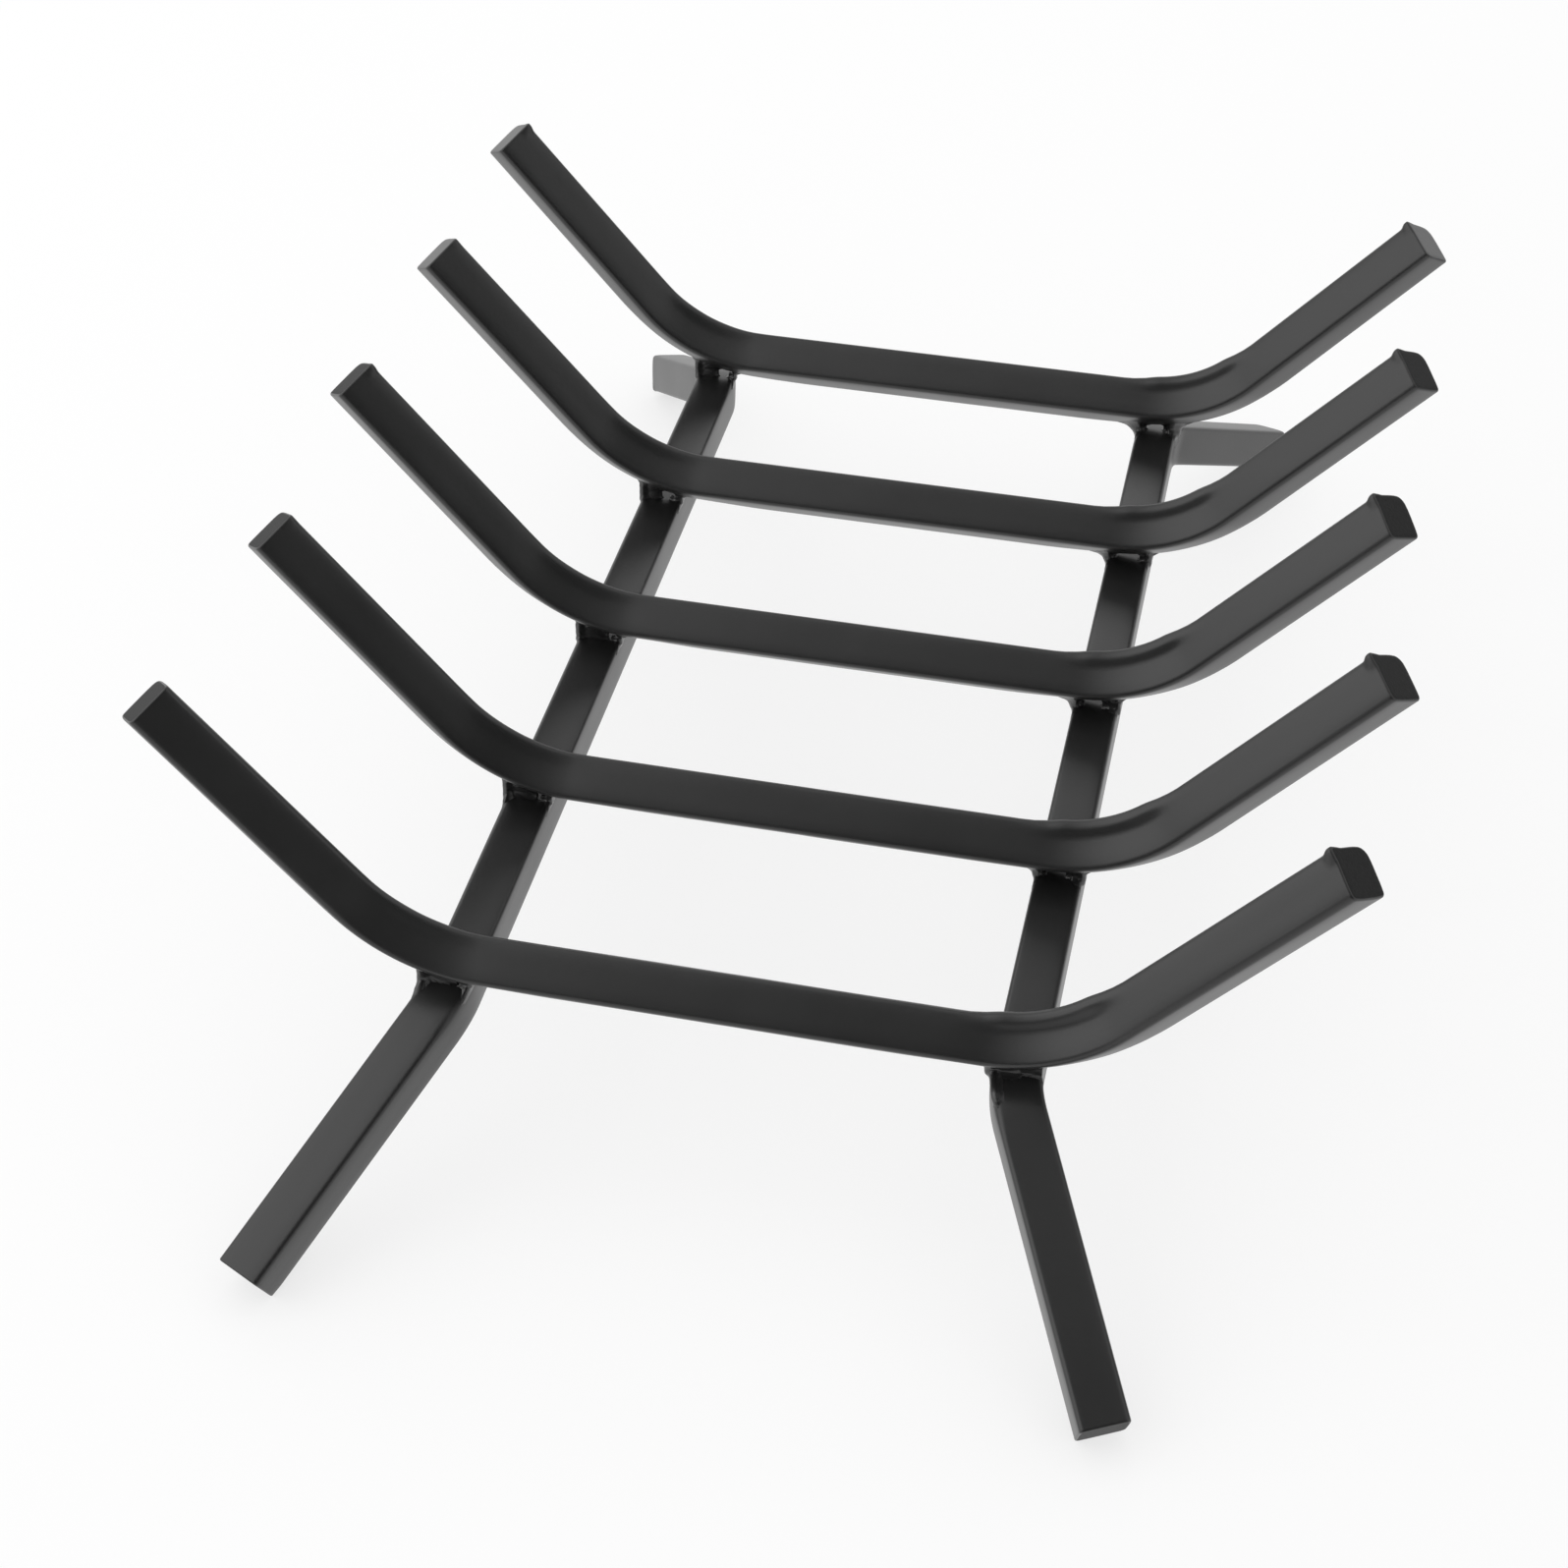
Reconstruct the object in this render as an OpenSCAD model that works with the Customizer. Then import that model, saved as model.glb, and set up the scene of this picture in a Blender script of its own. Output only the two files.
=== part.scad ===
// Log holder: a fireplace grate welded from seven lengths of square steel bar.
// Five crossbars turn up at both ends and cradle the logs. Two rails run under
// them and bend down into four splayed legs. X runs along the crossbars, Y from
// the front bar to the back bar, Z up from the hearth.

/* [Bar stock] */
// Side of the square bar
bar_side = 12.7; // [10:0.1:16]
// Radius rolled on the four long edges of the bar
edge_r = 1.3; // [0.6:0.1:2]

/* [Crossbars] */
// Distance from one crossbar to the next
bar_pitch = 72; // [45:1:110]
// Level length of a crossbar between its two bends
bar_flat = 124; // [100:1:220]
// Straight length of each raised arm
arm_len = 69; // [30:1:140]
// Angle that an arm rises above the level part
arm_angle = 49; // [20:1:70]
// Bend radius of the crossbars, at the middle of the bar
arm_bend_r = 44; // [25:1:70]

/* [Rails and legs] */
// Distance between the middles of the two rails
rail_gauge = 142; // [100:1:200]
// How far past the outer crossbars the lines of rail and leg meet
leg_out = 2; // [0:0.5:30]
// Straight length of each leg past its bend
leg_len = 75; // [40:1:140]
// Angle that a leg turns away from its rail
leg_angle = 38; // [15:1:60]
// Angle that the leg's bend leans outward from straight down
leg_splay = 41; // [0:1:60]
// Bend radius of the legs, at the middle of the bar
leg_bend_r = 20; // [14:1:40]

/* [Hand-set places] */
// Sideways place of the rails under the crossbars
rail_shift = -2.8; // [-8:0.1:8]
// Sideways place of crossbar 1, the front one
shift_1 = -2.2; // [-6:0.1:6]
// Sideways place of crossbar 2
shift_2 = 2.2; // [-6:0.1:6]
// Sideways place of crossbar 3
shift_3 = -0.2; // [-6:0.1:6]
// Sideways place of crossbar 4
shift_4 = 1.2; // [-6:0.1:6]
// Sideways place of crossbar 5, the back one
shift_5 = 1.1; // [-6:0.1:6]

/* [Welds] */
// Radius of a weld bead where bar and rail touch
weld_r = 3.2; // [2:0.1:5]

/* [Hidden] */
$fn = 32;
// A bar swells by this much where it is bent, and a straight length runs this
// far into the bend, so that the two join in one solid
bend_swell = 0.02;
joint_lap = 0.3;
bars = [1:5];
shift = [0, shift_1, shift_2, shift_3, shift_4, shift_5];
sides = [["left", -1], ["right", 1]];
edges = [["outer", 1], ["inner", -1]];

// A crossbar stands on one long edge: half its height over that rounded edge
half_diag = bar_side / sqrt(2) - (sqrt(2) - 1) * edge_r;
// Middle of the edge rounding, from the middle of the bar
edge_c = bar_side / 2 - edge_r;

function bar_y(i) = (i - 3) * bar_pitch;
function rail_x(side) = side * rail_gauge / 2 + rail_shift;

// Rise of a crossbar's underside at a distance u past its level part, measured
// on a surface that lies off below the underside
function rise(u, off = 0) =
    let (r = arm_bend_r + half_diag + off, reach = r * sin(arm_angle))
    u <= 0 ? 0
    : u <= reach ? r - sqrt(r * r - u * u)
    : r * (1 - cos(arm_angle)) + (u - reach) * tan(arm_angle);

// The underside of a bar dips this far below the rails' tops before it touches
// the inner rounded edge of the nearer rail
function seat(i) =
    rise(rail_gauge / 2 - abs(rail_shift - shift[i]) - edge_c - bar_flat / 2, edge_r)
    - bend_swell;

// Gap under crossbar i over the rails' tops, at the place x
function gap_under(i, x) = max(0, rise(abs(x - shift[i]) - bar_flat / 2) - seat(i));

// Where a leg's bend starts, from the point where rail and leg lines meet
leg_tangent = leg_bend_r * tan(leg_angle / 2);
rail_half = 2 * bar_pitch + leg_out - leg_tangent;

// Drop from the rail's middle to the lowest point of the square-cut foot
leg_drop = (leg_tangent + leg_len) * sin(leg_angle) * cos(leg_splay);
foot_a = sin(leg_splay) * cos(leg_splay) * (1 - cos(leg_angle));
foot_b = pow(sin(leg_splay), 2) + cos(leg_angle) * pow(cos(leg_splay), 2);
foot_drop = leg_drop + edge_c * (foot_a + foot_b) + edge_r * norm([foot_a, foot_b]);

rail_z = foot_drop;
rail_top = rail_z + bar_side / 2;

function bar_z(i) = rail_top - seat(i) + half_diag;

steel = [0.20, 0.20, 0.21];
weld_steel = [0.26, 0.26, 0.27];

// Square bar with rolled edges, as a cross-section
module bar_section(swell = 0) {
    square([bar_side + 2 * swell, 2 * edge_c], center = true);
    square([2 * edge_c, bar_side + 2 * swell], center = true);
    for (x = [-1, 1], y = [-1, 1])
        translate([x * edge_c, y * edge_c])
            circle(r = edge_r + swell);
}

// Bend at the right end of the level part, the bar standing on an edge
module arm_bend() {
    translate([bar_flat / 2, 0, arm_bend_r])
        rotate([90, 0, 0])
            rotate([0, 0, -90])
                rotate_extrude(angle = arm_angle, $fn = 96)
                    translate([arm_bend_r, 0])
                        rotate(45)
                            bar_section(bend_swell);
}

// Straight arm that goes on from that bend
module arm() {
    translate([bar_flat / 2, 0, arm_bend_r])
        rotate([0, -arm_angle, 0])
            translate([-joint_lap, 0, -arm_bend_r])
                rotate([90, 0, 90])
                    linear_extrude(arm_len + joint_lap)
                        rotate(45)
                            bar_section();
}

// The whole bent bar, with the middle of its level part at the origin
module bent_bar() {
    rotate([90, 0, 90])
        linear_extrude(bar_flat + 2 * joint_lap, center = true)
            rotate(45)
                bar_section();
    arm_bend();
    arm();
    mirror([1, 0, 0])
        arm_bend();
    mirror([1, 0, 0])
        arm();
}

module crossbar(i) {
    color(steel)
        translate([shift[i], bar_y(i), bar_z(i)])
            bent_bar();
}

// Bend at the back end of the right rail, its section in line with the rail's
module leg_bend() {
    translate([0, rail_half, 0])
        rotate([0, -leg_splay, 0])
            translate([0, 0, -leg_bend_r])
                rotate([0, -90, 0])
                    rotate_extrude(angle = leg_angle, $fn = 96)
                        translate([leg_bend_r, 0])
                            rotate(-leg_splay)
                                bar_section(bend_swell);
}

// Straight leg that goes on from that bend
module leg() {
    translate([0, rail_half, 0])
        rotate([0, -leg_splay, 0])
            translate([0, 0, -leg_bend_r])
                rotate([-leg_angle, 0, 0])
                    translate([0, -joint_lap, leg_bend_r])
                        rotate([-90, 0, 0])
                            linear_extrude(leg_len + joint_lap)
                                rotate(leg_splay)
                                    bar_section();
}

// A rail lies flat and has a leg at each end, made as the right one
module bent_rail() {
    rotate([90, 0, 0])
        linear_extrude(2 * (rail_half + joint_lap), center = true)
            bar_section();
    leg_bend();
    leg();
    mirror([0, 1, 0])
        leg_bend();
    mirror([0, 1, 0])
        leg();
}

module leg_rail(side) {
    color(steel)
        translate([rail_x(side), 0, rail_z])
            mirror([side < 0 ? 1 : 0, 0, 0])
                bent_rail();
}

// Weld bead in the corner under crossbar i, at one side of a rail. It fills the
// gap there and is cut to the two bars that it joins.
module weld(i, side, edge) {
    x = rail_x(side) + side * edge * edge_c;
    gap = gap_under(i, x);
    color(weld_steel)
        difference() {
            translate([x, bar_y(i), rail_top + gap / 2])
                sphere(r = weld_r + gap / 2);
            crossbar(i);
            leg_rail(side);
        }
}

for (i = bars)
    crossbar(i);
for (s = sides)
    leg_rail(s[1]);
for (i = bars, s = sides, e = edges)
    weld(i, s[1], e[1]);
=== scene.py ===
import math
import bpy
import numpy as np
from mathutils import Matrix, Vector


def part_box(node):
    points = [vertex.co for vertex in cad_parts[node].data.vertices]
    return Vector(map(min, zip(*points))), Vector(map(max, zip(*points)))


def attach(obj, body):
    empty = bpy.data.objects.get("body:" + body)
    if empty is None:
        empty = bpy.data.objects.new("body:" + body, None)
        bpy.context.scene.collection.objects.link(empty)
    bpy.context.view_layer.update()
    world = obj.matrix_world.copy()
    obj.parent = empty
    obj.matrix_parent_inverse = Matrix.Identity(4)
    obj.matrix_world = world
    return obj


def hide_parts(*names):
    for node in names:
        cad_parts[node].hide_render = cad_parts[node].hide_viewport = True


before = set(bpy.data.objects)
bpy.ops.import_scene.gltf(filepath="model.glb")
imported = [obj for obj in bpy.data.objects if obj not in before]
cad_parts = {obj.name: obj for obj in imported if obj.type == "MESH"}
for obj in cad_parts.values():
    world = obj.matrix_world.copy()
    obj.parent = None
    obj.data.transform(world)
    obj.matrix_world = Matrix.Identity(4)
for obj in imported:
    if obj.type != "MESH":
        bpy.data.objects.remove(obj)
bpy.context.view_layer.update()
print("frame loaded:", len(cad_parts), "nodes")

# A fireplace log grate: five bent square bars on two bent rails, welded and
# painted satin black. X runs along the crossbars, Y front to back, Z up.
# Lengths are in metres where no note says millimetres.

camera = {
    "place": (0.11439, -0.62895, 0.54477),   # from the middle of the grate on the hearth
    "turn": (50.0425, -0.3432, 12.3386),     # degrees about X, Y and Z
    "lens": 66.085,                          # mm
    "sensor": 36.0,                          # width in mm
    "clip": (0.01, 50.0),                    # the nearest and the furthest that it sees
}


def makeCamera(s):
    data = bpy.data.cameras.new("photoCamera")
    data.sensor_width = s["sensor"]
    data.lens = s["lens"]
    data.clip_start, data.clip_end = s["clip"]
    cam = bpy.data.objects.new("photoCamera", data)
    cam.location = s["place"]
    cam.rotation_euler = [math.radians(a) for a in s["turn"]]
    bpy.context.scene.collection.objects.link(cam)
    bpy.context.scene.camera = cam


makeCamera(camera)
print("camera placed")


# an sRGB hex colour as linear RGBA: each channel to the power that undoes the display curve
def linear(hexColour):
    c = np.array([int(hexColour[i:i + 2], 16) / 255 for i in (1, 3, 5)])
    c = np.where(c <= 0.04045, c / 12.92, ((c + 0.055) / 1.055) ** 2.4)
    return (*[float(v) for v in c], 1.0)


# one node: settings are its properties or input values, links go from input name to a socket
def addNode(tree, kind, settings=None, links=None):
    node = tree.nodes.new(kind)
    for key, value in (settings or {}).items():
        if isinstance(key, str) and hasattr(node, key):
            setattr(node, key, value)
        else:
            node.inputs[key].default_value = value
    for key, socket in (links or {}).items():
        tree.links.new(socket, node.inputs[key])
    return node


def newMaterial(name):
    mat = bpy.data.materials.new(name)
    mat.use_nodes = True
    mat.node_tree.nodes.clear()
    return mat, mat.node_tree


# scale of a noise pattern whose cells are this many millimetres across
def perMm(mm):
    return 1000.0 / mm


# where a mix node takes its two colours in and gives the mixed one out
firstColour, secondColour, mixedColour = 6, 7, 2

# Satin black heat-resistant paint, sprayed on hot-rolled steel bar. The eye gets
# a deep even black with a soft sheen, a faint orange peel and long mill lines.
paintLook = {
    "dark": "#181818", "light": "#202020",
    "ior": 1.54, "roughness": (0.32, 0.40),
    "cloudMm": 26.0, "cloudDetail": 3.0,
    "peelMm": 1.1, "peelDepth": 0.000016, "peelDetail": 2.0,
    # length and width of the mill lines, drawn coarser than real ones so that they show
    "lineMm": (70.0, 1.6), "lineDepth": 0.000016, "lineDetail": 2.0,
}


def satinBlackPaint(s):
    mat, tree = newMaterial("satinBlackPaintOnSteelBar")
    coords = addNode(tree, "ShaderNodeTexCoord")
    clouds = addNode(tree, "ShaderNodeTexNoise",
                     {"Scale": perMm(s["cloudMm"]), "Detail": s["cloudDetail"]},
                     {"Vector": coords.outputs["Object"]})
    tint = addNode(tree, "ShaderNodeMix",
                   {"data_type": "RGBA", firstColour: linear(s["dark"]), secondColour: linear(s["light"])},
                   {"Factor": clouds.outputs["Fac"]})
    gloss = addNode(tree, "ShaderNodeMapRange", {"To Min": s["roughness"][0], "To Max": s["roughness"][1]},
                    {"Value": clouds.outputs["Fac"]})
    # long lines along the bar, from the rolling mill: U runs along it, V round it
    lineScale = (perMm(s["lineMm"][0]), perMm(s["lineMm"][1]), 1.0)
    along = addNode(tree, "ShaderNodeMapping", {"Scale": lineScale}, {"Vector": coords.outputs["UV"]})
    lines = addNode(tree, "ShaderNodeTexNoise", {"Scale": 1.0, "Detail": s["lineDetail"]},
                    {"Vector": along.outputs["Vector"]})
    peel = addNode(tree, "ShaderNodeTexNoise",
                   {"Scale": perMm(s["peelMm"]), "Detail": s["peelDetail"]},
                   {"Vector": coords.outputs["Object"]})
    lineBump = addNode(tree, "ShaderNodeBump", {"Strength": 1.0, "Distance": s["lineDepth"]},
                       {"Height": lines.outputs["Fac"]})
    peelBump = addNode(tree, "ShaderNodeBump", {"Strength": 1.0, "Distance": s["peelDepth"]},
                       {"Height": peel.outputs["Fac"], "Normal": lineBump.outputs["Normal"]})
    shader = addNode(tree, "ShaderNodeBsdfPrincipled", {"IOR": s["ior"]},
                     {"Base Color": tint.outputs[mixedColour], "Roughness": gloss.outputs["Result"],
                      "Normal": peelBump.outputs["Normal"]})
    addNode(tree, "ShaderNodeOutputMaterial", None, {"Surface": shader.outputs["BSDF"]})
    return mat


# The same paint over rough metal: sheared bar ends and weld beads. The eye gets
# a duller, grainier black, because the paint follows the torn or cast grain,
# which is drawn coarser than the real one so that it shows.
roughLook = {
    "ior": 1.50,
    "grain": {"Detail": 4.0, "Roughness": 0.6},
    "shearedEnd": {"dark": "#111111", "light": "#191919", "roughness": 0.60, "sheen": 0.26,
                   "grainMm": 0.8, "depth": 0.00007},
    "weldBead": {"dark": "#131313", "light": "#242424", "roughness": 0.30, "sheen": 0.75,
                 "grainMm": 0.8, "depth": 0.00006},
}


def roughBlackPaint(name, look):
    s = look[name]
    mat, tree = newMaterial("satinBlackPaintOn" + name[0].upper() + name[1:])
    coords = addNode(tree, "ShaderNodeTexCoord")
    grain = addNode(tree, "ShaderNodeTexNoise", {"Scale": perMm(s["grainMm"]), **look["grain"]},
                    {"Vector": coords.outputs["Object"]})
    tint = addNode(tree, "ShaderNodeMix",
                   {"data_type": "RGBA", firstColour: linear(s["dark"]), secondColour: linear(s["light"])},
                   {"Factor": grain.outputs["Fac"]})
    bump = addNode(tree, "ShaderNodeBump", {"Strength": 1.0, "Distance": s["depth"]},
                   {"Height": grain.outputs["Fac"]})
    shader = addNode(tree, "ShaderNodeBsdfPrincipled",
                     {"IOR": look["ior"], "Roughness": s["roughness"], "Specular IOR Level": s["sheen"]},
                     {"Base Color": tint.outputs[mixedColour], "Normal": bump.outputs["Normal"]})
    addNode(tree, "ShaderNodeOutputMaterial", None, {"Surface": shader.outputs["BSDF"]})
    return mat


barPaint = satinBlackPaint(paintLook)
endPaint = roughBlackPaint("shearedEnd", roughLook)
weldPaint = roughBlackPaint("weldBead", roughLook)
print("materials made")

bar = {
    "side": 0.0127,          # square stock
    "edge": 0.0013,          # rounding of the four long edges
    "leastEdge": 0.0002,     # what is left of a rounding where the section shrinks at a cut end
    "shoulder": 0.00014,     # how far the faces fall away softly before their rounded edges
    "endEdge": 0.0005,       # rounding round the cut ends
    "arcPoints": 7,          # points on each rounded edge
    "facePoints": 19,        # points across each flat face
    "step": 0.003,           # between sections on a straight
    "bendStep": 0.0012,      # between sections in a bend
    "leastStep": 1e-6,       # a section nearer than this to the bend's start is left out
    "coarseTo": 0.0075,      # those of a straight stop this far from its cut end
    "fineFrom": 0.0065,      # and finer ones start here
    "fineRings": 22, "edgeRings": 5,     # sections from there to the end's rounding, and on it
    "capRings": (0.82, 0.55, 0.25),      # rings across a cut end, as shares of its size
    "bendLead": 0.006,       # what a bend does to the section starts this far before it
    "bendFade": 0.012,       # and comes in over this length
    "tuckLead": 0.020,       # the tuck of the underside grows from this far before a bend
    "tuckFade": 0.022,       # over this length
    "tuckGone": 1.15,        # and is gone at this many lengths of the bend
    "swellTo": 0.0011,       # how far from a face's edge the swollen inner edge has its full height
    "lipLength": 0.0025,     # how far back from a cut end its burr reaches
    "skewLength": 0.006,     # and how far back the slant of a cut that isn't square
    "rollLength": 0.0040,    # how far back the edge that the shear rolled over reaches
    "rolledCorner": 3,       # which corner of the section that is
    "wave": 0.00004,         # rolling unevenness of the faces
    "waveTurns": 95,         # its radians per metre along the bar
    "faceShift": 1.7,        # and its shift from face to face, in radians
}


# a smooth step from 0 to 1, with no slope at either end
def ease(x):
    x = np.clip(x, 0, 1)
    return x * x * (3 - 2 * x)


# Stations along one half of a bent bar, from its middle to its cut end. At a
# distance d the turn is (d - half) / R in the bend, where p = half + R sin(turn)
# runs along the first line and q = R (1 - cos(turn)) towards the inside. Past
# the bend both go on along the turned line.
def bentPath(half, bendR, angle, straight, s, swellIn):
    arc = bendR * angle
    total = half + arc + straight
    d = np.concatenate([
        np.arange(s["step"] / 2, half - s["leastStep"], s["step"]),
        np.linspace(half, half + arc, int(arc / s["bendStep"]) + 2),
        np.arange(half + arc + s["step"], total - s["coarseTo"], s["step"]),
        np.linspace(total - s["fineFrom"], total - s["endEdge"], s["fineRings"])[:-1],
        total - s["endEdge"] * (1 - np.sin(np.linspace(0, np.pi / 2, s["edgeRings"]))),
    ])
    turn = np.clip((d - half) / bendR, 0, angle)
    past = np.clip(d - half - arc, 0, None)
    p = np.minimum(d, half) + bendR * np.sin(turn) + past * np.cos(turn)
    q = bendR * (1 - np.cos(turn)) + past * np.sin(turn)
    within = np.minimum(d - half + s["bendLead"], half + arc + s["bendLead"] - d)
    return {"p": p, "q": q, "turn": turn, "along": d, "half": half, "arc": arc, "fromEnd": total - d,
            "bend": ease(within / s["bendFade"]), "swollen": ease(within / swellIn)}


# Half the section at each station, with the radii of its four rounded edges and
# how far the middles of their arcs lie out. The section shrinks along a quarter
# circle at the cut end. Towards the bend the inner edge swells and the inner and
# outer ones get their own radii, and the edge that the shear rolled over gets
# rounder towards the cut end.
def roundedEdges(path, turn, look, s, swell, rolledBack):
    e = path["fromEnd"]
    rounded = np.clip(s["endEdge"] - e, 0, None)
    inset = s["endEdge"] - np.sqrt(np.clip(s["endEdge"] ** 2 - rounded ** 2, 0, None))
    h = (s["side"] / 2 - inset)[:, None]
    radii, corners = [], []
    for k in range(4):
        toInner = math.cos(turn + math.pi / 4 + k * math.pi / 2)     # 1 inside the bend, -1 outside
        bent = (max(toInner, 0) * (look["innerEdge"] - s["edge"])
                + max(-toInner, 0) * (look["outerEdge"] - s["edge"]))
        isSide = abs(toInner) < 0.5                                  # neither inside nor outside
        edge = (look["sideEdge"] if isSide else s["edge"]) + bent * path["bend"]
        rolled = rolledBack * ease(1 - e / s["rollLength"]) if k == s["rolledCorner"] else 0
        radii.append(np.clip(edge + rolled - inset, s["leastEdge"], None)[:, None])
        corners.append(h - s["shoulder"] + swell * max(toInner, 0) ** 2 - radii[k])
    return h, radii, corners


# Rings of a square section: a is how far a point lies towards the inside of the
# bend, c how far square to that. Four quarter circles of their own radii stand at
# the corners, and between them four faces that fall away with the fourth power
# of the distance from their middle. The swollen inner edge and the hollow of the
# inner faces grow with how far into the bend a ring is.
def sectionRings(path, turn, look, s, swell, rolledBack, phase):
    half = s["side"] / 2
    bend, swell = path["bend"][:, None], swell * path["swollen"][:, None]
    h, radii, corners = roundedEdges(path, turn, look, s, swell, rolledBack)
    quarter = np.linspace(0, np.pi / 2, s["arcPoints"])
    across = -np.cos(np.linspace(0, np.pi, s["facePoints"] + 2))[1:-1]
    middle = 1 - across ** 2             # 1 in the middle of a face, 0 at its edges
    fall = s["shoulder"] * np.abs(across) ** 4
    a, c = [], []
    for k in range(4):
        cornerX = np.sign(math.cos(math.pi / 4 + k * math.pi / 2)) * corners[k]
        cornerY = np.sign(math.sin(math.pi / 4 + k * math.pi / 2)) * corners[k]
        angles = k * np.pi / 2 + quarter
        normal = (k + 1) * math.pi / 2
        tangent = (1 - across) / 2 * -corners[k] + (1 + across) / 2 * corners[(k + 1) % 4]
        shaped = 0
        if math.cos(turn + normal) > 0:  # a face towards the inside
            toEdge = tangent * (1 if math.sin(turn + normal) < 0 else -1)
            rise = (toEdge - look["swellFrom"]) / (half - s["swellTo"] - look["swellFrom"])
            shaped = swell * ease(rise) - bend * look["dish"] * middle
        waves = np.sin(path["along"][:, None] * s["waveTurns"] + phase + s["faceShift"] * k)
        out = h + shaped + s["wave"] * waves * middle - fall
        a += [cornerX + radii[k] * np.cos(angles), out * math.cos(normal) - tangent * math.sin(normal)]
        c += [cornerY + radii[k] * np.sin(angles), out * math.sin(normal) + tangent * math.cos(normal)]
    a, c = np.concatenate(a, axis=1), np.concatenate(c, axis=1)
    return a * math.cos(turn) - c * math.sin(turn), a * math.sin(turn) + c * math.cos(turn)


# What hand work does to the rings. The burr raises the edge towards the inside of
# the bend by a share that falls off with the fourth power of the distance from
# the cut end. The tuck moves the part below the side edges back and up, from its
# level amount to its amount in the bend and then to none.
def handMarks(a, c, path, s, end, tuck):
    half = s["side"] / 2
    reach = np.clip((a - half) / (half * (math.sqrt(2) - 1)), 0, 1)
    a = a + end["burr"] * np.exp(-(path["fromEnd"] / s["lipLength"]) ** 4)[:, None] * reach
    d = path["along"] - path["half"]
    low = np.clip(-a / (half * math.sqrt(2)), 0, 1)
    into = ease((d + s["tuckLead"]) / s["tuckFade"])
    gone = 1 - ease((d - tuck["length"]) / (path["arc"] * s["tuckGone"] - tuck["length"]))
    back, up = [((level + (bent - level) * into) * gone)[:, None] / 1000
                for level, bent in zip(tuck["level"], tuck["bend"])]
    return a + up * low, c - back * low


# A square section with rounded edges carried along one half of a bar, as a grid
# of rings. A point is the path point plus a times the axis towards the inside of
# the bend plus c times the axis square to it. Near the cut end it also moves along
# the bar in proportion to c, where the cut slants.
def halfBar(path, sign, origin, mainAxis, bendAxis, turn, look, s, swell, end, phase, tuck):
    a, c = sectionRings(path, turn, look, s, swell, end["rolled"], phase)
    a, c = handMarks(a, c, path, s, end, tuck)
    main, towards = np.array(mainAxis, float), np.array(bendAxis, float)
    square = np.cross(main, towards)
    cosine, sine = np.cos(path["turn"])[:, None], np.sin(path["turn"])[:, None]
    centre = np.array(origin) + sign * path["p"][:, None] * main + path["q"][:, None] * towards
    inward = cosine * towards - sign * sine * main
    onward = sine * towards + sign * cosine * main
    nearEnd = ease(1 - path["fromEnd"] / s["skewLength"])[:, None]
    slant = -end["skew"] * c / (s["side"] / 2 * math.sqrt(2)) * nearEnd
    return (centre[:, None, :] + a[:, :, None] * inward[:, None, :] + c[:, :, None] * square
            + slant[:, :, None] * onward[:, None, :])


# Points, faces, slots and UVs of a grid of rings, closed at both ends by
# shrinking rings and one middle point. Faces point out where the rings turn
# right-handed about the way they run. Some shears leave an end smooth.
def closedTube(grid, capRings, roughEnds=(True, True)):
    m = grid.shape[1]
    middles = (grid[0].mean(0), grid[-1].mean(0))
    first = np.stack([middles[0] + k * (grid[0] - middles[0]) for k in capRings[::-1]])
    last = np.stack([middles[1] + k * (grid[-1] - middles[1]) for k in capRings])
    rings = np.concatenate([first, grid, last])
    count = len(rings)
    points = np.concatenate([rings.reshape(-1, 3), [middles[0], middles[1]]])
    i, j = [v.ravel() for v in np.meshgrid(np.arange(count - 1), np.arange(m), indexing="ij")]
    jn = (j + 1) % m
    quads = np.stack([i * m + j, i * m + jn, (i + 1) * m + jn, (i + 1) * m + j], axis=1)
    k, kn = np.arange(m), (np.arange(m) + 1) % m
    startFan = np.stack([np.full(m, count * m), kn, k], axis=1)
    endFan = np.stack([np.full(m, count * m + 1), (count - 1) * m + k, (count - 1) * m + kn], axis=1)
    startSlot, endSlot = [int(rough) for rough in roughEnds]
    onCap = np.where(i < len(capRings), startSlot, np.where(i >= count - 1 - len(capRings), endSlot, 0))
    slots = np.concatenate([onCap, np.full(m, startSlot), np.full(m, endSlot)])
    # UV in metres: U along the bar, V round it
    u = np.concatenate([[0], np.cumsum(np.linalg.norm(np.diff(rings.mean(1), axis=0), axis=1))])
    v = np.linspace(0, 4 * bar["side"], m + 1)
    quadU = np.stack([u[i], u[i], u[i + 1], u[i + 1]], 1)
    quadV = np.stack([v[j], v[j + 1], v[j + 1], v[j]], 1)
    uv = np.concatenate([np.stack([quadU, quadV], 2).reshape(-1, 2), np.zeros((2 * m * 3, 2))])
    return points, quads, np.concatenate([startFan, endFan]), slots, uv


# one visible piece from a surface, in place of its node of the frame
def makePiece(name, surface, materials, node):
    points, quads, fans, slots, uv = surface
    mesh = bpy.data.meshes.new(name)
    mesh.from_pydata(points.tolist(), [], quads.tolist() + fans.tolist())
    for mat in materials:
        mesh.materials.append(mat)
    if len(materials) > 1:
        mesh.polygons.foreach_set("material_index", slots.astype(np.int32))
    mesh.polygons.foreach_set("use_smooth", np.ones(len(mesh.polygons), bool))
    layer = mesh.uv_layers.new(name="alongAndRound")
    layer.data.foreach_set("uv", uv.astype(np.float32).ravel())
    mesh.update()
    piece = bpy.data.objects.new(name, mesh)
    bpy.context.scene.collection.objects.link(piece)
    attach(piece, "root")
    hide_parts(node)


# from the middle of the bar to one of its rounded edges
def halfDiagonal(s):
    return s["side"] / math.sqrt(2) - (math.sqrt(2) - 1) * s["edge"]


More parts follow.
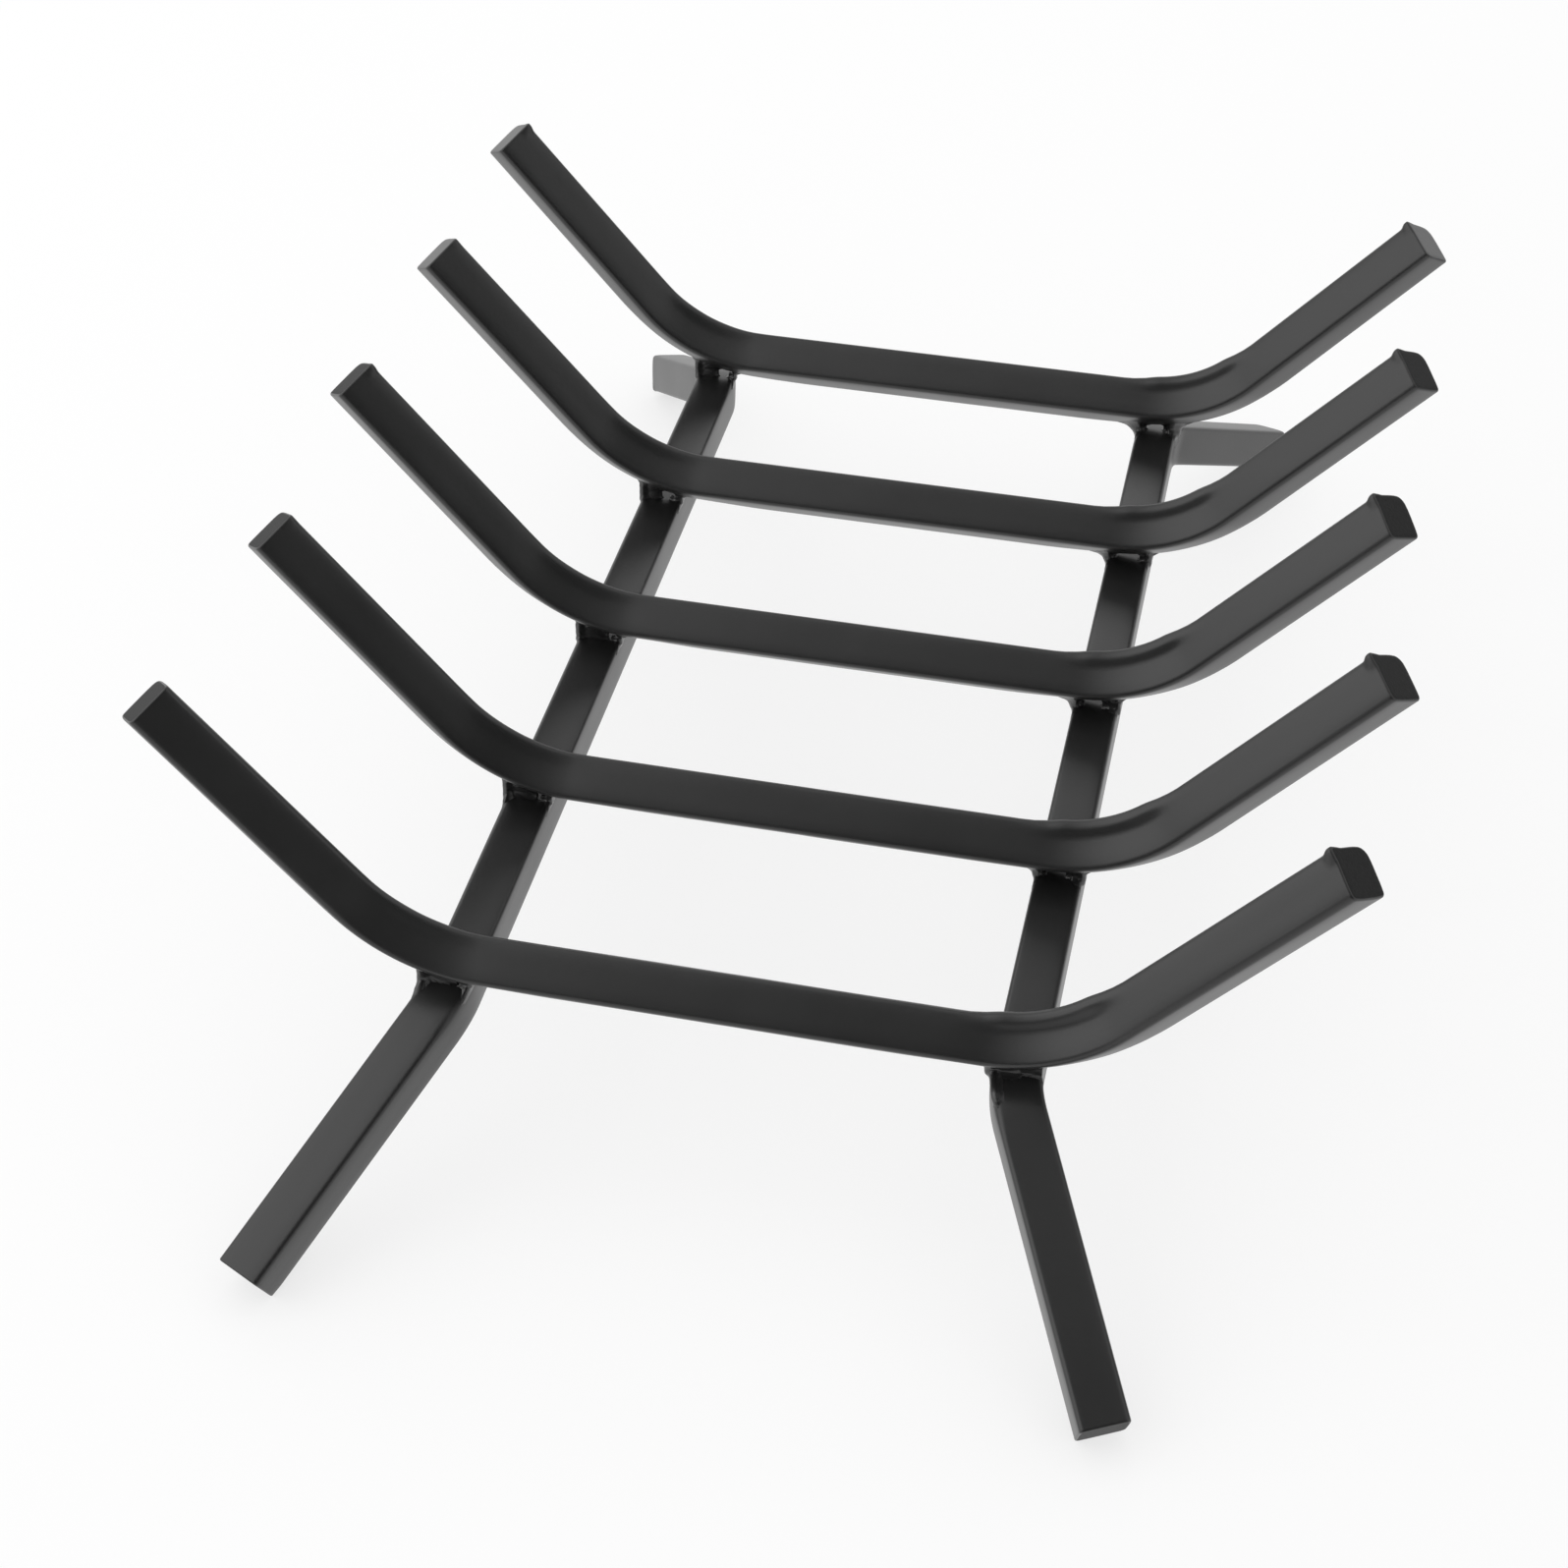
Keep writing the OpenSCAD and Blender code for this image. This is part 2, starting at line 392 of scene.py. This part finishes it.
# the middle of a crossbar's level part, half its height over its lower edge
def crossbarOrigin(i, s):
    low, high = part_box(f"crossbar_{i}")
    return np.array([(low.x + high.x) / 2, (low.y + high.y) / 2, low.z + halfDiagonal(s)])


# the middle of a rail: its inner side and its top are those of its box
def railOrigin(name, s):
    side = -1 if name == "left" else 1
    low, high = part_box(f"leg_rail_{name}")
    inner = high.x if side < 0 else low.x
    return np.array([inner + side * s["side"] / 2, (low.y + high.y) / 2, high.z - s["side"] / 2])


# from a rail's middle to where its leg bend starts
def railHalf(look):
    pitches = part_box("crossbar_5")[0].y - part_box("crossbar_1")[0].y
    return pitches / 2 + look["out"] - look["bendR"] * math.tan(look["angle"] / 2)


crossbar = {
    "flat": 0.124,               # length of the level part
    "bendR": 0.044, "angle": math.radians(49), "arm": 0.069,
    "turn": math.radians(-45),   # it stands on an edge
    "outerEdge": 0.0030,         # rounding of the outer edge where it is bent
    "innerEdge": 0.0013,         # rounding of the inner edge there
    "sideEdge": 0.0017,          # rounding of the two edges between, all along
    "dish": 0.00010,             # hollow across the two inner faces there
    # how far the squeezed inner edge swells out of the faces there, and over what
    # length that comes in and fades: the right end was bent harder
    "swell": {"left": (0.00045, 0.022), "right": (0.00105, 0.012)},
    "swellFrom": 0.0020,         # where that starts, from the middle of a face towards the edge
    "tuckLength": 0.016,         # how far into a bend the tuck of the underside goes on
    "phaseStep": 2.1,            # shift of the unevenness from bar to bar, in radians
    "roughTo": (3, 4),           # the last crossbars whose left and right ends are rough
}
# Each bar was cut and bent by hand, so they differ a little. For each crossbar,
# front to back: what its two arms have more than the shared length, the height of
# the burr at the end, how much further the arm is bent up (degrees), and how much
# longer the back of the end is than its middle. Then how far the lower edge is
# tucked back and up in the level part and in the bends. All others are in mm.
handWork = {
    1: {"left": (-0.2, 0.1, 0.25, 0.0), "right": (1.7, 1.5, 0.35, 0.9),
        "tuck": (0.3, 0.0), "bendTuck": (1.4, 0.1)},
    2: {"left": (-0.2, 0.2, 0.4, 0.0), "right": (1.5, 1.7, 0.4, 0.4),
        "tuck": (1.2, 0.0), "bendTuck": (1.9, 0.1)},
    3: {"left": (0.8, 0.7, 0.1, 0.0), "right": (-0.6, 1.4, -0.6, 1.2),
        "tuck": (1.5, 0.0), "bendTuck": (2.3, 0.2)},
    4: {"left": (0.5, 0.2, -0.5, 0.0), "right": (0.4, 1.3, -0.9, 0.6),
        "tuck": (0.9, 0.0), "bendTuck": (1.6, 0.1)},
    5: {"left": (-0.1, 0.9, 0.2, 0.0), "right": (-0.5, 1.4, -0.3, -0.4),
        "tuck": (0.5, 0.0), "bendTuck": (1.0, 0.1)},
}
# rounding that the shear leaves at an end's back edge, also at the feet
rolledEdge = {"left": 0.0008, "right": 0.0016, "foot": 0.0006}


def makeCrossbars(s, look):
    for i, hand in handWork.items():
        tuck = {"level": hand["tuck"], "bend": hand["bendTuck"], "length": look["tuckLength"]}
        halves = []
        for name, sign in (("left", -1), ("right", 1)):
            more, burr, lean, skew = hand[name]
            end = {"burr": burr / 1000, "rolled": rolledEdge[name], "skew": skew / 1000}
            swell, swellIn = look["swell"][name]
            path = bentPath(look["flat"] / 2, look["bendR"], look["angle"] + math.radians(lean),
                            look["arm"] + more / 1000, s, swellIn)
            halves.append(halfBar(path, sign, crossbarOrigin(i, s), (1, 0, 0), (0, 0, 1), look["turn"],
                                  look, s, swell, end, look["phaseStep"] * i + sign, tuck))
        grid = np.concatenate([halves[0][::-1], halves[1]])
        roughEnds = [i <= last for last in look["roughTo"]]
        makePiece(f"crossbar{i}", closedTube(grid, s["capRings"], roughEnds), [barPaint, endPaint],
                  f"crossbar_{i}")


rail = {
    "out": 0.002,                # how far past the outer crossbars the lines of rail and leg meet
    "bendR": 0.020, "angle": math.radians(38), "leg": 0.075,
    "splay": math.radians(41),   # how far the bend leans out from straight down
    "outerEdge": 0.0022, "innerEdge": 0.0015, "sideEdge": 0.0013,    # roundings, as for the crossbars
    "dish": 0.0002,              # hollow across the two inner faces of a bend
    # how far the inner edge swells out of them, over what length, and where that starts
    "swell": (0.0002, 0.012), "swellFrom": 0.0016,
    "burr": 0.0003,              # height of the burr at the feet
    "phaseStep": 1.3,            # shift of the unevenness to either side, in radians
}


def makeLegRails(s, look):
    swell, swellIn = look["swell"]
    end = {"burr": look["burr"], "rolled": rolledEdge["foot"], "skew": 0}
    path = bentPath(railHalf(look), look["bendR"], look["angle"], look["leg"], s, swellIn)
    noTuck = {"level": (0, 0), "bend": (0, 0), "length": 0}
    for name, side in (("left", -1), ("right", 1)):
        inside = (side * math.sin(look["splay"]), 0, -math.cos(look["splay"]))
        halves = [halfBar(path, sign, railOrigin(name, s), (0, 1, 0), inside, side * look["splay"],
                          look, s, swell, end, look["phaseStep"] * side + sign, noTuck)
                  for sign in (-1, 1)]
        grid = np.concatenate([halves[0][::-1], halves[1]])
        makePiece(f"legRail{name.capitalize()}", closedTube(grid, s["capRings"]), [barPaint, endPaint],
                  f"leg_rail_{name}")


makeCrossbars(bar, crossbar)
makeLegRails(bar, rail)
print("bars made")

bead = {
    "sizes": (0.9, 0.2),     # each bead has 0.9 times its sizes, and up to 0.2 times more
    "blend": 0.0032,         # how far the bead's toes run out on bar and rail
    "fill": 1.6,             # the fillet under the bar is this many times the gap wide
    "fillMore": 0.0006,      # and this much more, to close the gap
    "fillFade": 0.0012,      # over this length at the rail's side it takes the width of the toes
    "web": 0.0006,           # half the thickness of the thin web that bridges the gap under the bar
    "webBite": 0.0006,       # how far that web goes into bar and rail
    "legDown": 0.0012,       # how far the thick part at the rail's side goes past the gap, up and down
    "along": 0.0004,         # half that part's straight length along the rail
    "webBlend": 0.0008, "legBlend": 0.0016, "runBlend": 0.0012,    # fillets where these parts join
    "fadeIn": 0.0018,        # the bead thins out over this length under the bar
    "leastFade": 0.02,       # to this share of its width
    "reach": (0.0082, 0.0056, 0.0066),   # the bead ends inside this ellipsoid
    "startBack": 0.0010,     # its middle lies this far under the bar from the rail's side
    "under": 0.00010,        # beyond its toes it dives this far under the paint of the bars
    "runThick": 0.0010,      # radius of a bead where it runs on along the rail's edge
    "runIn": (0.0009, 0.0004),           # how far the middle of that lies in from the rail's side and top
    "lump": 0.00003,         # height of the lumps
    "lumpTurns": ((1.9, 1.6), (2.7, 1.3), (3.9, 2.2, 3.1)),    # their three waves, in radians per mm
    "lumpShares": (0.7, 0.5),            # shares of the second and the third wave
    "lumpFade": 0.0006,      # how far out of the bars the lumps have their full height
    "ripple": 0.000015, "ripplePitch": 0.0012,
    "rippleLean": 0.15,      # share of their height by which they shift along the rail
    "rings": 60, "points": 76,           # of the bead's surface
    "samples": 52, "firstSample": 0.02,  # places tried on each ray, and the first one's share of it
    "capRings": (0.6, 0.25),
    "phases": 6.28,          # the waves start anywhere in a full turn
    "seed": 27,
}
# Beads were laid by hand too. For each one, in mm: how much further its toes
# reach, the radius of the thick part at the rail's side (below 0 there is none),
# how far that part stands out past the side, and how far the bead runs in under
# the bar.
handBeads = {
    (1, "left", "outer"): (0.6, 1.3, 0.0, 9.0), (1, "left", "inner"): (0.8, -1.0, 0.0, 3.0),
    (2, "left", "outer"): (0.4, 0.8, -0.4, 9.0), (2, "left", "inner"): (1.0, -1.0, 0.0, 3.0),
    (3, "left", "outer"): (0.2, 0.7, -0.5, 9.0), (3, "left", "inner"): (1.2, -1.0, 0.0, 3.0),
    (4, "left", "outer"): (0.4, 0.6, -0.5, 6.4), (4, "left", "inner"): (0.8, -1.0, 0.0, 3.8),
    (5, "left", "outer"): (1.2, 0.6, 0.0, 7.0), (5, "left", "inner"): (1.2, -1.0, 0.0, 2.4),
    (1, "right", "inner"): (1.6, 1.0, 0.0, 9.0), (1, "right", "outer"): (-1.6, -1.0, -0.4, 9.0),
    (2, "right", "inner"): (1.6, -1.0, 0.0, 3.0), (2, "right", "outer"): (2.4, 0.2, 0.0, 4.6),
    (3, "right", "inner"): (3.2, -1.0, 0.0, 3.0), (3, "right", "outer"): (2.6, 0.2, 0.0, 4.6),
    (4, "right", "inner"): (2.8, -1.0, 0.0, 2.6), (4, "right", "outer"): (2.8, 0.2, 0.0, 3.0),
    (5, "right", "inner"): (4.4, -1.0, 0.0, 3.2), (5, "right", "outer"): (5.0, 0.3, 0.0, 4.2),
}
# how far some beads run on forward along the rail's edge, in mm
beadRuns = {(1, "right", "inner"): 7.0, (1, "left", "outer"): 3.0, (2, "left", "outer"): 2.4}


# distance from the surface of a square section with rounded edges, negative inside
def sectionDistance(a, c, half, edge):
    da, dc = np.abs(a) - (half - edge), np.abs(c) - (half - edge)
    return np.hypot(np.maximum(da, 0), np.maximum(dc, 0)) + np.minimum(np.maximum(da, dc), 0) - edge


# Distance from a crossbar. In its bend the height over the section's middle is R
# less the distance to the bend's centre, and the distance along the bar R times
# the angle there.
def crossbarDistance(p, origin, s, look, hand):
    x, y, z = [p[..., k] - origin[k] for k in range(3)]
    past = np.abs(x) - look["flat"] / 2
    ahead = np.maximum(past, 0)
    n = look["bendR"] - np.hypot(ahead, look["bendR"] - z)
    d = np.where(past > 0, look["bendR"] * np.arctan2(ahead, look["bendR"] - z), past)
    low = np.clip(-n / (s["side"] / math.sqrt(2)), 0, 1)
    into = ease((d + s["tuckLead"]) / s["tuckFade"])
    back, up = [(level + (bent - level) * into) / 1000
                for level, bent in zip(hand["tuck"], hand["bendTuck"])]
    n, y = n - up * low, y - back * low
    edge = s["edge"] + (look["outerEdge"] - s["edge"]) * ease((d + s["bendLead"]) / s["bendFade"])
    return sectionDistance((n + y) / math.sqrt(2), (n - y) / math.sqrt(2), s["side"] / 2, edge)


# places across and up a rail's section, with its leg bend unrolled in the same way
def railPlace(p, origin, side, look):
    x, y, z = [p[..., k] - origin[k] for k in range(3)]
    sn, cs = side * math.sin(look["splay"]), -math.cos(look["splay"])
    towards, square = x * sn + z * cs, x * cs - z * sn
    ahead = np.maximum(np.abs(y) - railHalf(look), 0)
    towards = look["bendR"] - np.hypot(ahead, look["bendR"] - towards)
    return towards * sn + square * cs, towards * cs - square * sn


# the lower of two distances, with a fillet of width k where they are nearly equal
def smoothMin(a, b, k):
    near = np.maximum(k - np.abs(a - b), 0) / k
    return np.minimum(a, b) - near * near * k / 4


# lumps from three crossing waves, and the finer ripples across the bead
def beadWaves(p, centre, s, phases):
    x, y, z = [(p[..., k] - centre[k]) * 1000 for k in range(3)]
    (x1, y1), (z2, y2), (y3, x3, z3) = s["lumpTurns"]
    second, third = s["lumpShares"]
    lumps = (np.sin(x1 * x + phases[0]) * np.sin(y1 * y + phases[1])
             + second * np.sin(z2 * z + y2 * y + phases[2])
             + third * np.sin(y3 * y - x3 * x + phases[3]) * np.sin(z3 * z + phases[4]))
    ripples = np.sin(2 * np.pi * (y / 1000 + s["rippleLean"] * z / 1000) / s["ripplePitch"] + phases[5])
    return s["lump"] * lumps + s["ripple"] * ripples


# The field of a bead, negative inside: the lower of the distances to the bar and
# to the rail, smoothed to a fillet that fades out under the bar and along the
# rail, joined to a thin web that fills the gap and to a thicker upright part at
# the rail's side, less lumps and ripples. Some beads run on as a rounded stick
# along the rail's upper edge, at its place across and up the rail's section.
def beadField(p, joint, b, s, size, phases):
    centre, outward, gap, run = [joint[key] for key in ("centre", "outward", "gap", "run")]
    more, thick, proud, inward = [v / 1000 for v in joint["hand"]]
    out = outward * (p[..., 0] - centre[0])
    up, side = p[..., 2] - centre[2], p[..., 1] - centre[1]
    across, over = joint["onRail"](p)
    fromBar = joint["fromBar"](p) + s["under"]
    fromRail = sectionDistance(across, over, b["side"] / 2, b["edge"]) + s["under"]
    fade = (np.clip(1 - (side / s["reach"][1]) ** 2, s["leastFade"], 1)
            * np.clip((out + inward) / s["fadeIn"], s["leastFade"], 1))
    toes = s["blend"] * size[1] + more
    full = np.maximum(toes, s["fill"] * gap + s["fillMore"])
    width = (toes + (full - toes) * ease(0.5 - out / s["fillFade"])) * fade
    web = np.maximum.reduce([np.abs(side) - s["web"], out, -out - inward,
                             np.abs(up) - gap / 2 - s["webBite"]])
    along = np.maximum(np.abs(side) - s["along"] * size[2], 0)
    tall = np.maximum(np.abs(up) - gap / 2 - s["legDown"] * size[0], 0)
    leg = np.sqrt((out - proud) ** 2 + along ** 2 + tall ** 2) - thick
    field = smoothMin(smoothMin(fromBar, fromRail, width), web, s["webBlend"])
    field = smoothMin(field, leg, s["legBlend"])
    if run:
        sideIn, topIn = s["runIn"]
        fromEdge = np.hypot(outward * across - b["side"] / 2 + sideIn, over - b["side"] / 2 + topIn)
        stick = np.hypot(fromEdge, np.maximum(-side - run, np.maximum(side, 0)))
        field = smoothMin(field, stick - s["runThick"] * size[0], s["runBlend"])
    loose = np.clip(np.minimum(fromBar, fromRail) / s["lumpFade"], 0, 1)    # none where it lies in a bar
    return field - loose * beadWaves(p, centre, s, phases)


# A weld bead in the corner of bar and rail. Its surface is where its field is
# zero. From a start in the corner each direction goes out until the field turns
# positive, or to an ellipsoid that ends inside the metal. The rings run from the
# pole in the rail up to that in the bar.
def beadSurface(joint, b, s, rng):
    polar = np.linspace(np.pi, 0, s["rings"] + 2)[1:-1][:, None, None]
    turned = np.linspace(0, 2 * np.pi, s["points"], endpoint=False)[None, :, None]
    ray = np.stack([np.sin(polar) * np.cos(turned), np.sin(polar) * np.sin(turned),
                    np.cos(polar) + 0 * turned], -1)
    limits = np.array(s["reach"]) + np.array([0, joint["run"], 0])
    reach = 1 / np.sqrt(((ray / limits) ** 2).sum(-1))
    r = reach * np.linspace(s["firstSample"], 1, s["samples"])
    start = np.array(joint["centre"]) - np.array([joint["outward"] * s["startBack"], 0, 0])
    size = s["sizes"][0] + s["sizes"][1] * rng.random(3)
    phases = rng.random(6) * s["phases"]
    field = beadField(start + ray * r[..., None], joint, b, s, size, phases)
    free = field > 0
    hit = np.where(free.any(-1), free.argmax(-1), s["samples"] - 1)
    before = np.maximum(hit - 1, 0)
    f1, f0 = [np.take_along_axis(field, k[..., None], -1)[..., 0] for k in (hit, before)]
    r1, r0 = [np.take_along_axis(r, k[..., None], -1)[..., 0] for k in (hit, before)]
    part = np.where(free.any(-1) & (f1 > f0), np.clip(-f0 / np.maximum(f1 - f0, 1e-9), 0, 1), 1)
    return start + ray[:, :, 0] * (r0 + (r1 - r0) * part)[..., None]


# Gap between a crossbar's underside and the rails' tops at the place x. The
# underside of a bend is an arc of R plus half the bar's height. What the underside
# is tucked up there, in mm, counts half.
def gapUnder(x, barAt, railTop, tuckUp, b, look):
    past = max(abs(x - barAt[0]) - look["flat"] / 2, 0)
    arch = look["bendR"] + halfDiagonal(b)
    gap = max(barAt[2] - halfDiagonal(b) + arch - math.sqrt(arch ** 2 - past ** 2) - railTop, 0)
    return gap + tuckUp / 2000


def makeWelds(s, b, look, railLook):
    rng = np.random.default_rng(s["seed"])
    railTop = railOrigin("left", b)[2] + b["side"] / 2
    for i, hand in handWork.items():
        barAt = crossbarOrigin(i, b)
        for name, side in (("left", -1), ("right", 1)):
            railAt = railOrigin(name, b)
            for edge, sign in (("outer", 1), ("inner", -1)):
                outward = side * sign
                x = railAt[0] + outward * b["side"] / 2
                gap = gapUnder(x, barAt, railTop, hand["bendTuck"][1], b, look)
                joint = {
                    "centre": (x, barAt[1], railTop + gap / 2), "outward": outward, "gap": gap,
                    "fromBar": lambda p: crossbarDistance(p, barAt, b, look, hand),
                    "onRail": lambda p: railPlace(p, railAt, side, railLook),
                    "hand": handBeads[i, name, edge],
                    "run": beadRuns.get((i, name, edge), 0) / 1000,
                }
                surface = closedTube(beadSurface(joint, b, s, rng), s["capRings"])
                makePiece(f"weld{i}{name.capitalize()}{edge.capitalize()}", surface, [weldPaint],
                          f"weld_{i}_{name}_{edge}")


makeWelds(bead, bar, crossbar, rail)
print("weld beads made")

studio = {
    "floorSize": 6.0,
    "floor": "#f4f4f4",
    "floorWhite": 0.7,          # share of plain white that the camera sees in the floor by the grate
    "sweep": (0.6, 1.9),        # between these distances the floor turns to the white of the room
    "worldDiffuse": 0.90,       # what the soft surroundings give to matt surfaces
    "aim": (0.0, 0.0, 0.06),
    # direction from the aim (degrees right of the front, degrees up), distance,
    # width, height and power in watts of each softbox
    "softboxes": {
        "leftSoftbox": (-62, 31, 1.30, 1.15, 1.45, 4.75),
        "backSoftbox": (197, 32, 1.50, 1.70, 0.50, 2.4),
    },
    # dark and grey cards that keep the white room out of the gloss: direction,
    # distance, width, height and colour
    "cards": {
        "edgeCard": (-26, 5, 0.90, 0.55, 0.24, "#1c1c1c"),
        "lowCard": (19, 21, 0.90, 1.12, 0.92, "#262626"),
        "highCard": (20, 54, 1.05, 1.00, 0.72, "#9c9c9c"),
        "backCard": (122, 12, 1.30, 1.0, 0.60, "#383838"),
        "topCard": (175, 50, 1.50, 1.36, 0.60, "#606060"),
    },
}


# a place at an azimuth right of the front and a height angle, seen from the aim
def around(azimuth, height, distance, aim):
    a, h = math.radians(azimuth), math.radians(height)
    direction = np.array([math.sin(a) * math.cos(h), -math.cos(a) * math.cos(h), math.sin(h)])
    return np.array(aim) + distance * direction


# the turn that points an object's -Z from a place at the aim
def facing(place, aim):
    away = np.array(place) - np.array(aim)
    return (math.atan2(math.hypot(away[0], away[1]), away[2]), 0, math.atan2(away[0], -away[1]))


# a flat rectangle about its own middle
def flatSheet(name, width, depth, mat):
    w, h = width / 2, depth / 2
    mesh = bpy.data.meshes.new(name)
    mesh.from_pydata([(-w, -h, 0), (w, -h, 0), (w, h, 0), (-w, h, 0)], [], [(0, 1, 2, 3)])
    mesh.materials.append(mat)
    sheet = bpy.data.objects.new(name, mesh)
    bpy.context.scene.collection.objects.link(sheet)
    return sheet


# matt white paper: pale, with no sheen, shown part plain white, and the gloss sees it white
def whitePaper(s):
    mat, tree = newMaterial("whitePaperSweep")
    paper = addNode(tree, "ShaderNodeBsdfPrincipled",
                    {"Base Color": linear(s["floor"]), "Roughness": 1.0, "Specular IOR Level": 0.0})
    white = addNode(tree, "ShaderNodeEmission", {"Color": (1, 1, 1, 1), "Strength": 1.0})
    path = addNode(tree, "ShaderNodeLightPath")
    coords = addNode(tree, "ShaderNodeTexCoord")
    away = addNode(tree, "ShaderNodeVectorMath", {"operation": "LENGTH"}, {0: coords.outputs["Object"]})
    paler = addNode(tree, "ShaderNodeMapRange",
                    {"interpolation_type": "SMOOTHSTEP", "From Min": s["sweep"][0],
                     "From Max": s["sweep"][1], "To Min": s["floorWhite"], "To Max": 1.0},
                    {"Value": away.outputs["Value"]})
    seen = addNode(tree, "ShaderNodeMath", {"operation": "MULTIPLY"},
                   {0: path.outputs["Is Camera Ray"], 1: paler.outputs["Result"]})
    gloss = addNode(tree, "ShaderNodeMath", {"operation": "MAXIMUM"},
                    {0: path.outputs["Is Glossy Ray"], 1: path.outputs["Is Transmission Ray"]})
    share = addNode(tree, "ShaderNodeMath", {"operation": "MAXIMUM"},
                    {0: seen.outputs[0], 1: gloss.outputs[0]})
    mixed = addNode(tree, "ShaderNodeMixShader", None,
                    {0: share.outputs[0], 1: paper.outputs["BSDF"], 2: white.outputs["Emission"]})
    addNode(tree, "ShaderNodeOutputMaterial", None, {"Surface": mixed.outputs["Shader"]})
    mat.cycles.emission_sampling = "NONE"        # the paper is no lamp
    return mat


def makeFloor(s):
    floor = flatSheet("floor", s["floorSize"], s["floorSize"], whitePaper(s))


# a white room for the camera and the gloss, a little dimmer for matt surfaces
def makeRoom(s):
    world = bpy.data.worlds.new("whiteStudio")
    bpy.context.scene.world = world
    world.use_nodes = True
    tree = world.node_tree
    tree.nodes.clear()
    path = addNode(tree, "ShaderNodeLightPath")
    seen = addNode(tree, "ShaderNodeMath", {"operation": "MAXIMUM"},
                   {0: path.outputs["Is Camera Ray"], 1: path.outputs["Is Glossy Ray"]})
    shown = addNode(tree, "ShaderNodeMath", {"operation": "MAXIMUM"},
                    {0: seen.outputs[0], 1: path.outputs["Is Transmission Ray"]})
    strength = addNode(tree, "ShaderNodeMapRange", {"To Min": s["worldDiffuse"], "To Max": 1.0},
                       {"Value": shown.outputs[0]})
    back = addNode(tree, "ShaderNodeBackground", {"Color": (1, 1, 1, 1)},
                   {"Strength": strength.outputs["Result"]})
    addNode(tree, "ShaderNodeOutputWorld", None, {"Surface": back.outputs["Background"]})


def makeSoftbox(name, azimuth, height, distance, width, depth, power, aim):
    data = bpy.data.lights.new(name, "AREA")
    data.shape = "RECTANGLE"
    data.size, data.size_y = width, depth
    data.energy = power
    lamp = bpy.data.objects.new(name, data)
    lamp.location = around(azimuth, height, distance, aim)
    lamp.rotation_euler = facing(lamp.location, aim)
    bpy.context.scene.collection.objects.link(lamp)


# matt cloth that takes light away
def flagCloth(name, colour):
    mat, tree = newMaterial("flagCloth" + name[0].upper() + name[1:])
    cloth = addNode(tree, "ShaderNodeBsdfDiffuse", {"Color": linear(colour)})
    addNode(tree, "ShaderNodeOutputMaterial", None, {"Surface": cloth.outputs["BSDF"]})
    return mat


# a card that only the gloss sees
def makeCard(name, azimuth, height, distance, width, depth, colour, aim):
    card = flatSheet(name, width, depth, flagCloth(name, colour))
    card.location = around(azimuth, height, distance, aim)
    card.rotation_euler = facing(card.location, aim)
    card.visible_camera = card.visible_diffuse = card.visible_shadow = False


def makeStudio(s):
    makeFloor(s)
    makeRoom(s)
    for name, settings in s["softboxes"].items():
        makeSoftbox(name, *settings, s["aim"])
    for name, settings in s["cards"].items():
        makeCard(name, *settings, s["aim"])


makeStudio(studio)
bpy.context.scene.view_settings.view_transform = "Standard"
print("studio lit")
